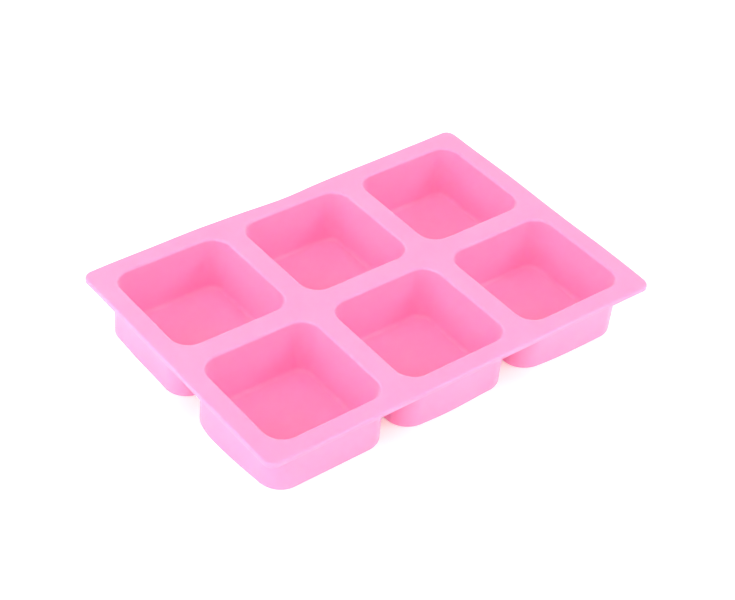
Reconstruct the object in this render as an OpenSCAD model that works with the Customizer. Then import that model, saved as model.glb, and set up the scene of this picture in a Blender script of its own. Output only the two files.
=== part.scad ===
// Six-cavity soap mould in soft silicone rubber: one moulding, cut here into
// its flange and its six cups so that every region is a simple solid of its own.
// Frame: millimetres, +Z up, origin on the table under the middle of the mould.
// +X runs along the row of three cups, -Y is the front.

/* [Layout] */
// Distance between the centres of neighbouring cavities
pitch = 75; // [70:1:90]
// Width and length of a cavity at the top of the flange
cavity_w = 63; // [56:0.5:66]
// Overall height of the mould, from the table to the top of the flange
mould_h = 31.5; // [24:0.5:40]
// Overlap of the flange past the outermost cavities, on the short sides
margin_x = 10.5; // [9:0.25:18]
// Overlap of the flange past the outermost cavities, on the long sides
margin_y = 9.75; // [9:0.25:18]

/* [Silicone] */
// Thickness of the flange and of the webs between the cavities
flange_t = 3; // [2:0.1:4]
// Wall thickness of a cup just under the flange
wall_t = 2.1; // [1.5:0.1:3]
// Thickness of a cup's base
base_t = 2; // [1.5:0.1:4]
// Draft of the cavity's walls in degrees
draft_in = 4.3; // [1:0.1:5]
// Draft of the outside of a cup's walls in degrees
draft_out = 0.3; // [0:0.1:4]

/* [Rounding] */
// Radius of the cavity's upright corners at the top
corner_r = 10; // [8:0.5:14]
// Radius of the flange's four corners seen from above
rim_corner_r = 5; // [3:0.5:10]
// Rounding of the flange's outer edge
rim_edge_r = 0.8; // [0.4:0.1:0.8]
// Rounding where the flange turns down into a cavity
lip_r = 1.2; // [0.5:0.1:1.5]
// Rounding between a cavity's walls and its floor
floor_r = 2.5; // [1:0.1:4]
// Rounding along the bottom edge of a cup
foot_r = 1.5; // [0.5:0.1:4]
// Fillet where a cup's wall runs into the underside of the flange
root_r = 1.5; // [0.5:0.1:2]

/* [Hidden] */
$fn = 64;
arc_n = 8;                                   // segments in each rounded edge
core = cavity_w / 2 - corner_r;              // half side of the square on whose corners the radii turn
flange_z = mould_h - flange_t;               // underside of the flange
flange_l = 2 * pitch + cavity_w + 2 * margin_x;
flange_w = pitch + cavity_w + 2 * margin_y;
silicone = [1.0, 0.58, 0.76];

// Reach of the cavity wall and of the outer wall past the core square, at height z.
function r_in(z) = corner_r - (mould_h - z) * tan(draft_in);
function r_out(z) = corner_r + wall_t - (mould_h - z) * tan(draft_out);

// Points of an arc about (cx, cy).
function arc(cx, cy, r, a0, a1, n = arc_n) =
    [for (i = [0:n]) let (a = a0 + (a1 - a0) * i / n) [cx + r * cos(a), cy + r * sin(a)]];

// Section through a cup from the core outwards: base, foot, wall, root fillet,
// top face under the flange, cavity wall, floor fillet and floor.
cup_section = concat(
    [[0, 0]],
    arc(r_out(foot_r) - foot_r, foot_r, foot_r, -90, -draft_out),
    arc(r_out(flange_z - root_r) + root_r, flange_z - root_r, root_r, 180 - draft_out, 90),
    [[r_in(flange_z), flange_z]],
    arc(r_in(base_t + floor_r) - floor_r, base_t + floor_r, floor_r, -draft_in, -90),
    [[0, base_t]]);

// Section through the empty space of a cavity where it passes the flange,
// with the rounded lip opening out to the top face.
lip_section = concat(
    [[0, flange_z - 1], [r_in(flange_z - 1), flange_z - 1]],
    arc(r_in(mould_h - lip_r) + lip_r, mould_h - lip_r, lip_r, 180 - draft_in, 90),
    [[r_in(mould_h - lip_r) + lip_r, mould_h + 1], [0, mould_h + 1]]);

// Section through the flange's outer edge.
rim_section = concat(
    [[0, flange_z]],
    arc(rim_corner_r - rim_edge_r, flange_z + rim_edge_r, rim_edge_r, -90, 0),
    arc(rim_corner_r - rim_edge_r, mould_h - rim_edge_r, rim_edge_r, 0, 90),
    [[0, mould_h]]);

// Carries a section round a rectangle with half sides hx and hy: a quarter turn
// at each corner, a straight run along each side and a block in the middle.
module round_the_rectangle(hx, hy, section, z0, z1) {
    for (c = [[hx, hy, 0], [-hx, hy, 90], [-hx, -hy, 180], [hx, -hy, 270]])
        translate([c[0], c[1], 0]) rotate([0, 0, c[2]])
            rotate_extrude(angle = 90) polygon(section);
    for (s = [-1, 1]) {
        translate([s * hx, s * hy, 0]) rotate([90, 0, s > 0 ? 0 : 180])
            linear_extrude(2 * hy) polygon(section);
        translate([-s * hx, s * hy, 0]) rotate([90, 0, s > 0 ? 90 : 270])
            linear_extrude(2 * hx) polygon(section);
    }
    translate([-hx, -hy, z0]) cube([2 * hx, 2 * hy, z1 - z0]);
}

// One cup in its place: column -1, 0 or 1 along X, row -1 at the front, 1 at the back.
module cup(column, row) {
    translate([column * pitch, row * pitch / 2, 0])
        color(silicone)
            round_the_rectangle(core, core, cup_section, 0, base_t);
}

// The space that a cavity takes out of the flange.
module cavity_mouth(column, row) {
    translate([column * pitch, row * pitch / 2, 0])
        round_the_rectangle(core, core, lip_section, flange_z - 1, mould_h + 1);
}

module top_flange() {
    color(silicone)
        difference() {
            round_the_rectangle(flange_l / 2 - rim_corner_r, flange_w / 2 - rim_corner_r,
                                rim_section, flange_z, mould_h);
            for (column = [-1:1], row = [-1, 1]) cavity_mouth(column, row);
        }
}

module cup_front_left() { cup(-1, -1); }
module cup_front_middle() { cup(0, -1); }
module cup_front_right() { cup(1, -1); }
module cup_back_left() { cup(-1, 1); }
module cup_back_middle() { cup(0, 1); }
module cup_back_right() { cup(1, 1); }

top_flange();
cup_front_left();
cup_front_middle();
cup_front_right();
cup_back_left();
cup_back_middle();
cup_back_right();
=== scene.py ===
import math

import bpy
import numpy as np
from mathutils import Matrix, Vector


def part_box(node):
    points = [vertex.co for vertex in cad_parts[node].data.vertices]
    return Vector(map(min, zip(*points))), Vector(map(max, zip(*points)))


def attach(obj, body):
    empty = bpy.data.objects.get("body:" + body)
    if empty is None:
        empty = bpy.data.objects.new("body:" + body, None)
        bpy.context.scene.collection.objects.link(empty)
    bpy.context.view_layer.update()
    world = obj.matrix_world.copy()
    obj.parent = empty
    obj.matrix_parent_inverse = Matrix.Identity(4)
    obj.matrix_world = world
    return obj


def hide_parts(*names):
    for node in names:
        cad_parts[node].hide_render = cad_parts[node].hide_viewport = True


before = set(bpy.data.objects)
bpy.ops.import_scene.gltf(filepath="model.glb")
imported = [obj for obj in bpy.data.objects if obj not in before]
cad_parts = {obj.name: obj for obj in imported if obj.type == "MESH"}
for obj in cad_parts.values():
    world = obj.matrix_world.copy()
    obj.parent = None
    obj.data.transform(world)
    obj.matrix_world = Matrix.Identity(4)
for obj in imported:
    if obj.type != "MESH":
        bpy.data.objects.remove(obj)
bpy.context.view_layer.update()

# ---------------------------------------------------------------------------
# Sizes in millimetres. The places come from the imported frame; the radii are
# those of the CAD part.
# ---------------------------------------------------------------------------
MM = 0.001
CUPS = ["cup_front_left", "cup_front_middle", "cup_front_right",
        "cup_back_left", "cup_back_middle", "cup_back_right"]


def box_mm(name):
    lo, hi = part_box(name)
    return np.array(lo) / MM, np.array(hi) / MM


F_LO, F_HI = box_mm("top_flange")
TOP = float(F_HI[2])                    # top face of the flange
UNDER = float(F_LO[2])                  # its underside
HALF_L, HALF_W = float(F_HI[0]), float(F_HI[1])
CENTRES = {}
for n in CUPS:
    a, b = box_mm(n)
    CENTRES[n] = ((a[0] + b[0]) / 2, (a[1] + b[1]) / 2)
PITCH = CENTRES["cup_front_right"][0] - CENTRES["cup_front_middle"][0]

CAVITY_HALF, CORNER_R = 31.5, 10.0
CORE = CAVITY_HALF - CORNER_R
WALL, BASE = 2.1, 2.0
DRAFT_IN, DRAFT_OUT = math.radians(4.3), math.radians(0.3)
RIM_CORNER_R, RIM_EDGE_R = 5.0, 0.8
LIP_R, FLOOR_R, FOOT_R, ROOT_R = 1.2, 2.5, 1.5, 1.5


def r_in(z):
    return CORNER_R - (TOP - z) * math.tan(DRAFT_IN)


def r_out(z):
    return CORNER_R + WALL - (TOP - z) * math.tan(DRAFT_OUT)


def arc(cx, cz, r, a0, a1, n):
    t = np.radians(np.linspace(a0, a1, n + 1))
    return [(cx + r * math.cos(a), cz + r * math.sin(a)) for a in t]


# ---------------------------------------------------------------------------
# The skin: one closed mesh for the whole moulding, ring by ring
# ---------------------------------------------------------------------------
NS, NC = 16, 20          # segments along a straight side and round a corner
NLOOP = 4 * (NS + NC)
verts, quads = [], []


def add(points):
    base = len(verts)
    verts.extend(points)
    return np.arange(base, base + len(points))


def loop(cx, cy, reach, z):
    """A rounded square round the cup's core, `reach` past it, at height z."""
    out = []
    for q in range(4):
        c, s = [(1, 0), (0, 1), (-1, 0), (0, -1)][q]
        for j in range(NS):
            x, y = CORE + reach, -CORE + 2 * CORE * j / NS
            out.append((cx + c * x - s * y, cy + s * x + c * y, z))
        for j in range(NC):
            a = math.pi / 2 * j / NC
            x, y = CORE + reach * math.cos(a), CORE + reach * math.sin(a)
            out.append((cx + c * x - s * y, cy + s * x + c * y, z))
    return out


INSET_L, INSET_W, INSET_R = HALF_L - RIM_EDGE_R, HALF_W - RIM_EDGE_R, RIM_CORNER_R - RIM_EDGE_R


def cell_loop(cx, cy, z):
    """The boundary of the flange's cell round one cavity, point for point with loop()."""
    bxp = PITCH / 2 if cx < PITCH / 2 else INSET_L - cx
    bxn = PITCH / 2 if cx > -PITCH / 2 else INSET_L + cx
    byp = -cy if cy < 0 else INSET_W - cy
    byn = cy if cy > 0 else INSET_W + cy
    out = []

    def corner(sx, sy, first_x):
        """Points from the end of one side to the start of the next, through the cell's corner."""
        X, Y = (bxp if sx > 0 else bxn), (byp if sy > 0 else byn)
        outer = (abs(cx + sx * X) > INSET_L - 1e-6) and (abs(cy + sy * Y) > INSET_W - 1e-6)
        R = INSET_R if outer else 0.0
        pts = []
        for j in range(NC):
            u = j / NC
            if R:
                if u < 0.3:
                    p = (X, CORE + (Y - R - CORE) * u / 0.3)
                elif u <= 0.7:
                    a = math.pi / 2 * (u - 0.3) / 0.4
                    p = (X - R + R * math.cos(a), Y - R + R * math.sin(a))
                else:
                    p = (X - R - (X - R - CORE) * (u - 0.7) / 0.3, Y)
            elif u < 0.5:
                p = (X, CORE + (Y - CORE) * 2 * u)
            else:
                p = (X - (X - CORE) * (2 * u - 1), Y)
            pts.append(p)
        if not first_x:                      # walked from the Y side to the X side
            pts2 = []
            for j in range(NC):
                k = NC - j
                u = k / NC
                if R:
                    if u < 0.3:
                        p = (X, CORE + (Y - R - CORE) * u / 0.3)
                    elif u <= 0.7:
                        a = math.pi / 2 * (u - 0.3) / 0.4
                        p = (X - R + R * math.cos(a), Y - R + R * math.sin(a))
                    else:
                        p = (X - R - (X - R - CORE) * (u - 0.7) / 0.3, Y)
                elif u <= 0.5:
                    p = (X, CORE + (Y - CORE) * 2 * u)
                else:
                    p = (X - (X - CORE) * (2 * u - 1), Y)
                pts2.append(p)
            pts = pts2
        return [(sx * x, sy * y) for x, y in pts]

    side = [-CORE + 2 * CORE * j / NS for j in range(NS)]
    out += [(bxp, s) for s in side] + corner(1, 1, True)
    out += [(-s, byp) for s in side] + corner(-1, 1, False)
    out += [(-bxn, -s) for s in side] + corner(-1, -1, True)
    out += [(s, -byn) for s in side] + corner(1, -1, False)
    return [(cx + x, cy + y, z) for x, y in out]


def between(a, b, n):
    """n - 1 loops between two loops."""
    a, b = np.array(a), np.array(b)
    return [[tuple(p) for p in a + (b - a) * k / n] for k in range(1, n)]


def stitch(rings, flip):
    ids = [add(r) for r in rings]
    for lo, hi in zip(ids[:-1], ids[1:]):
        for i in range(NLOOP):
            j = (i + 1) % NLOOP
            q = (lo[i], lo[j], hi[j], hi[i])
            quads.append(q[::-1] if flip else q)


def floor_grid(cx, cy, z, flip):
    n = NS + 1
    ids = add([(cx - CORE + 2 * CORE * i / NS, cy - CORE + 2 * CORE * j / NS, z)
               for j in range(n) for i in range(n)]).reshape(n, n)
    for j in range(NS):
        for i in range(NS):
            q = (ids[j, i], ids[j, i + 1], ids[j + 1, i + 1], ids[j + 1, i])
            quads.append(q[::-1] if flip else q)


def rim_normal(x, y):
    bx, by = INSET_L - INSET_R, INSET_W - INSET_R
    px, py = min(max(x, -bx), bx), min(max(y, -by), by)
    d = math.hypot(x - px, y - py)
    return px, py, (x - px) / d, (y - py) / d


inner_profile = (
    [(k, BASE) for k in (0.0, 1.2, 3.0, r_in(BASE + FLOOR_R) - FLOOR_R - 1.2)]
    + arc(r_in(BASE + FLOOR_R) - FLOOR_R, BASE + FLOOR_R, FLOOR_R, -90, -math.degrees(DRAFT_IN), 8)
    + [(r_in(z), z) for z in np.linspace(BASE + FLOOR_R, TOP - LIP_R, 13)[1:-1]]
    + arc(r_in(TOP - LIP_R) + LIP_R, TOP - LIP_R, LIP_R, 180 - math.degrees(DRAFT_IN), 90, 8))
outer_profile = (
    [(k, 0.0) for k in (0.0, 1.5, 3.5, r_out(FOOT_R) - FOOT_R - 1.0)]
    + arc(r_out(FOOT_R) - FOOT_R, FOOT_R, FOOT_R, -90, -math.degrees(DRAFT_OUT), 10)
    + [(r_out(z), z) for z in np.linspace(FOOT_R, UNDER - ROOT_R, 12)[1:-1]]
    + arc(r_out(UNDER - ROOT_R) + ROOT_R, UNDER - ROOT_R, ROOT_R, 180 - math.degrees(DRAFT_OUT), 90, 6))
rim_profile = arc(0, TOP - RIM_EDGE_R, RIM_EDGE_R, 90, 0, 6) + arc(0, UNDER + RIM_EDGE_R, RIM_EDGE_R, 0, -90, 6)

for n in CUPS:
    cx, cy = CENTRES[n]
    rings = [loop(cx, cy, r, z) for r, z in inner_profile]
    edge = cell_loop(cx, cy, TOP)
    rings += between(rings[-1], edge, 6) + [edge]
    stitch(rings, True)
    floor_grid(cx, cy, BASE, False)
    rings = [loop(cx, cy, r, z) for r, z in outer_profile]
    under = cell_loop(cx, cy, UNDER)
    rings += between(rings[-1], under, 6) + [under]
    stitch(rings, False)
    floor_grid(cx, cy, 0.0, True)
    # the rim, wherever this cell's boundary lies on the flange's outline
    on = [abs(abs(x) - INSET_L) < 1e-6 or abs(abs(y) - INSET_W) < 1e-6
          or (abs(x) > INSET_L - INSET_R and abs(y) > INSET_W - INSET_R) for x, y, z in edge]
    for i in range(NLOOP):
        j = (i + 1) % NLOOP
        if not (on[i] and on[j]):
            continue
        strip = []
        for k in (i, j):
            px, py, nx, ny = rim_normal(edge[k][0], edge[k][1])
            strip.append(add([(px + (INSET_R + d) * nx, py + (INSET_R + d) * ny, z) for d, z in rim_profile]))
        for m in range(len(rim_profile) - 1):
            quads.append((strip[0][m], strip[1][m], strip[1][m + 1], strip[0][m + 1])[::-1])

V = np.array(verts, float)
key = np.round(V / 2e-4).astype(np.int64)
_, first, back = np.unique(key, axis=0, return_index=True, return_inverse=True)
back = back.reshape(-1)
V = V[first]
faces = []
for q in quads:
    f = []
    for i in q:
        k = int(back[i])
        if not f or (f[-1] != k and f[0] != k):
            f.append(k)
    if len(f) >= 3:
        faces.append(f)


# ==== LOOKS ================================================================
# ---------------------------------------------------------------------------
# The rubber isn't perfectly flat: slow waves in the flange and soft walls
# ---------------------------------------------------------------------------
# How far the flange's outline stands outside its even shape, in mm, at places along each side,
# and how far a cup's wall has moved outwards at the table, at places along that wall.
OUTLINE = {
    "back": ((-117, -0.55), (-100, 0.0), (-80, 0.1), (-60, 0.45), (-50, 0.5), (-40, 0.2), (-20, -0.5),
             (-10, -1.18), (0, -1.65), (10, -1.5), (20, -0.7), (40, -0.08), (60, 0.14), (80, 0.4),
             (100, 0.75), (117, 1.15)),
    "right": ((-79, -1.0), (-70, -0.6), (-60, -0.22), (-40, 0.05), (-20, -0.35), (0, -0.2), (20, 0.28),
              (30, 0.33), (50, 0.02), (60, -0.22), (79, -0.1)),
    "front": ((-117, 0.0), (-60, 0.15), (20, 0.1), (90, 0.25), (117, 0.7)),
    "left": ((-79, -0.03), (-20, 0.12), (50, -0.2), (79, 0.05)),
}
BULGE = {
    ("cup_front_left", "left"): ((-26, -0.7), (-18, -0.07), (-12, 0.6), (-6, 1.1), (0, 1.55), (6, 1.8), (12, 2.0),
                                 (17, 1.9), (24, 0.4), (30, -0.1)),
    ("cup_front_left", "right"): ((-24, 0.5), (0, 0.2)),
    ("cup_front_middle", "front"): ((-26, -0.4), (-18, 0.1), (-12, 0.5), (-6, 0.64), (0, 0.55), (6, 0.3), (12, 0.05),
                                    (18, -0.28), (26, -0.35)),
    ("cup_front_middle", "left"): ((-24, 0.5), (0, 0.5)),
    ("cup_front_right", "front"): ((-26, -1.4), (-18, -0.5), (-12, -0.1), (-6, 0.2), (0, 0.28), (12, 0.38),
                                   (18, 0.38), (26, 0.1)),
    ("cup_front_right", "right"): ((-33, -0.8), (-20, -0.4), (0, 0.0)),
    ("cup_front_right", "left"): ((-24, 0.4), (0, 0.5)),
    ("cup_back_left", "left"): ((-26, 0.95), (-12, 0.72), (0, 0.75), (6, 0.64), (12, 0.4), (18, 0.15), (26, 0.0)),
}


def smooth(t):
    t = np.clip(t, 0.0, 1.0)
    return t * t * (3.0 - 2.0 * t)


def along(knots, s):
    """A soft curve through the knots: averages of the straight-line reading over 8 mm."""
    k = np.array(knots, float)
    return sum(np.interp(s + d, k[:, 0], k[:, 1]) for d in (-4.0, -2.0, 0.0, 2.0, 4.0)) / 5.0


def deform(P):
    P = P.copy()
    X, Y, Z = P[:, 0].copy(), P[:, 1].copy(), P[:, 2].copy()
    flange = smooth((Z - (UNDER - 3.0)) / 3.0)
    reach = 9.0                             # the outline's waves die out by the lips of the cavities
    P[:, 1] += flange * smooth((Y - (HALF_W - reach)) / reach) * along(OUTLINE["back"], X)
    P[:, 1] -= flange * smooth((-Y - (HALF_W - reach)) / reach) * along(OUTLINE["front"], X)
    P[:, 0] += flange * smooth((X - (HALF_L - reach)) / reach) * along(OUTLINE["right"], Y)
    P[:, 0] -= flange * smooth((-X - (HALF_L - reach)) / reach) * along(OUTLINE["left"], Y)
    depth = np.clip((UNDER - Z) / UNDER, 0.0, 1.0)
    for name, (cx, cy) in CENTRES.items():
        near = (np.abs(X - cx) < PITCH / 2) & (np.abs(Y - cy) < PITCH / 2)
        lx, ly = X - cx, Y - cy
        for side, t, s, axis, sign in (("left", -lx, ly, 0, -1), ("right", lx, ly, 0, 1),
                                       ("front", -ly, lx, 1, -1), ("back", ly, lx, 1, 1)):
            if (name, side) in BULGE:
                move = depth * smooth(t / (CAVITY_HALF + WALL)) * along(BULGE[name, side], s)
                P[:, axis] += np.where(near, sign * move, 0.0)
    return P


V = deform(V)


def new_mesh(name, points_mm, polys):
    me = bpy.data.meshes.new(name)
    me.from_pydata([tuple(float(c) * MM for c in p) for p in points_mm], [], polys)
    me.update()
    me.polygons.foreach_set("use_smooth", [True] * len(me.polygons))
    ob = bpy.data.objects.new(name, me)
    bpy.context.scene.collection.objects.link(ob)
    return ob


skin = new_mesh("silicone_skin", V, faces)
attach(skin, "root")
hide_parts("top_flange", *CUPS)


# ---------------------------------------------------------------------------
# Materials
# ---------------------------------------------------------------------------
def silicone():
    m = bpy.data.materials.new("silicone_pink")
    m.use_nodes = True
    nt = m.node_tree
    b = nt.nodes["Principled BSDF"]
    N = nt.nodes.new
    L = nt.links.new
    co = N("ShaderNodeTexCoord")

    # slow, faint mottling of the pigment
    slow = N("ShaderNodeTexNoise")
    slow.inputs["Scale"].default_value = 26.0
    slow.inputs["Detail"].default_value = 3.0
    slow.inputs["Roughness"].default_value = 0.5
    L(co.outputs["Object"], slow.inputs["Vector"])
    ramp = N("ShaderNodeValToRGB")
    ramp.color_ramp.elements[0].position = 0.30
    ramp.color_ramp.elements[0].color = (1.0, 0.308, 0.585, 1)
    ramp.color_ramp.elements[1].position = 0.70
    ramp.color_ramp.elements[1].color = (1.0, 0.328, 0.605, 1)
    L(slow.outputs["Fac"], ramp.inputs["Fac"])
    L(ramp.outputs["Color"], b.inputs["Base Color"])

    # gloss that varies a little over the surface
    fine = N("ShaderNodeTexNoise")
    fine.inputs["Scale"].default_value = 140.0
    fine.inputs["Detail"].default_value = 4.0
    L(co.outputs["Object"], fine.inputs["Vector"])
    gloss = N("ShaderNodeMapRange")
    gloss.inputs["From Min"].default_value = 0.3
    gloss.inputs["From Max"].default_value = 0.7
    gloss.inputs["To Min"].default_value = 0.285
    gloss.inputs["To Max"].default_value = 0.35
    L(fine.outputs["Fac"], gloss.inputs["Value"])
    L(gloss.outputs["Result"], b.inputs["Roughness"])

    # the satin grain that a blasted tool leaves, about 0.25 mm across
    grain = N("ShaderNodeTexNoise")
    grain.inputs["Scale"].default_value = 3600.0
    grain.inputs["Detail"].default_value = 2.0
    L(co.outputs["Object"], grain.inputs["Vector"])
    bump = N("ShaderNodeBump")
    bump.inputs["Strength"].default_value = 0.08
    bump.inputs["Distance"].default_value = 0.00006
    L(grain.outputs["Fac"], bump.inputs["Height"])
    L(bump.outputs["Normal"], b.inputs["Normal"])

    b.inputs["IOR"].default_value = 1.41
    b.inputs["Subsurface Weight"].default_value = 1.0
    b.inputs["Subsurface Radius"].default_value = (0.5, 1.0, 1.0)
    b.inputs["Subsurface Scale"].default_value = 0.0014
    b.inputs["Specular IOR Level"].default_value = 0.5
    return m


mat = silicone()
skin.data.materials.append(mat)


def plain(name, color, rough):
    m = bpy.data.materials.new(name)
    m.use_nodes = True
    b = m.node_tree.nodes["Principled BSDF"]
    b.inputs["Base Color"].default_value = (*color, 1)
    b.inputs["Roughness"].default_value = rough
    return m


# ---------------------------------------------------------------------------
# Stage, light and camera
# ---------------------------------------------------------------------------
bpy.ops.mesh.primitive_plane_add(size=60.0, location=(0, 0, 0))
floor = bpy.context.object
floor.name = "floor"
table = plain("floor_white", (0.90, 0.90, 0.90), 0.9)
# a white acrylic table lit from below, which keeps the ground almost free of shadow
table.node_tree.nodes["Principled BSDF"].inputs["Emission Color"].default_value = (1.0, 1.0, 0.86, 1)
table.node_tree.nodes["Principled BSDF"].inputs["Emission Strength"].default_value = 0.27
floor.data.materials.append(table)

world = bpy.data.worlds.new("studio")
bpy.context.scene.world = world
world.use_nodes = True
world.node_tree.nodes["Background"].inputs["Color"].default_value = (1.0, 1.0, 0.905, 1)
world.node_tree.nodes["Background"].inputs["Strength"].default_value = 0.44


def area(name, at, towards, size, power, color=(1, 1, 1)):
    d = bpy.data.lights.new(name, "AREA")
    d.shape = "RECTANGLE"
    d.size, d.size_y = size
    d.energy = power
    d.color = color
    o = bpy.data.objects.new(name, d)
    bpy.context.scene.collection.objects.link(o)
    o.location = at
    o.rotation_euler = (Vector(towards) - Vector(at)).to_track_quat("-Z", "Y").to_euler()
    return o


# a ring of softboxes round the table, as in a white product tent: where each stands, its size and its power
for name, az, el, size, power in (
        ("soft_left", -90, 30, 1.0, 10.8), ("low_left", -90, 12, 0.8, 3.8), ("soft_front", 0, 30, 1.0, 7.0),
        ("small_front_right", 42, 33, 0.45, 5.0), ("soft_right", 90, 30, 1.0, 2.6), ("low_right", 90, 10, 0.8, 2.1),
        ("soft_back", 180, 35, 1.0, 4.6), ("low_back_right", 135, 10, 0.8, 3.0), ("soft_top", 0, 89, 1.0, 5.2),
        ("small_front_left", -48, 46, 0.30, 2.2), ("small_back_left", -133, 31, 0.35, 1.3)):
    a, e = math.radians(az), math.radians(el)
    area(name, (1.5 * math.sin(a) * math.cos(e), -1.5 * math.cos(a) * math.cos(e), 1.5 * math.sin(e)),
         (0, 0, 0), (size, size), power, (1.0, 1.0, 0.905))

# the camera: azimuth and elevation of the line of sight, its roll, the distance and the point looked at
AZ, EL, ROLL = math.radians(-41.471), math.radians(39.467), math.radians(5.650)
DIST, LOOK = 860.744, (-11.537, -12.057, TOP)
FOCAL_PX = 1776.71
backv = Vector((math.sin(AZ) * math.cos(EL), -math.cos(AZ) * math.cos(EL), math.sin(EL)))
rightv = Vector((math.cos(AZ), math.sin(AZ), 0))
upv = backv.cross(rightv)
rightv, upv = (math.cos(ROLL) * rightv + math.sin(ROLL) * upv,
               -math.sin(ROLL) * rightv + math.cos(ROLL) * upv)
cam_data = bpy.data.cameras.new("camera")
cam = bpy.data.objects.new("camera", cam_data)
bpy.context.scene.collection.objects.link(cam)
rot = Matrix((rightv, upv, backv)).transposed()
cam.matrix_world = Matrix.Translation((Vector(LOOK) + backv * DIST) * MM) @ rot.to_4x4()
cam_data.sensor_width = 36.0
cam_data.lens = FOCAL_PX * 36.0 / 735.0
cam_data.clip_start, cam_data.clip_end = 0.05, 100.0
bpy.context.scene.camera = cam

vs = bpy.context.scene.view_settings
vs.view_transform = "Standard"
vs.look = "None"
vs.exposure = 0.0
vs.gamma = 1.0

bpy.context.view_layer.update()
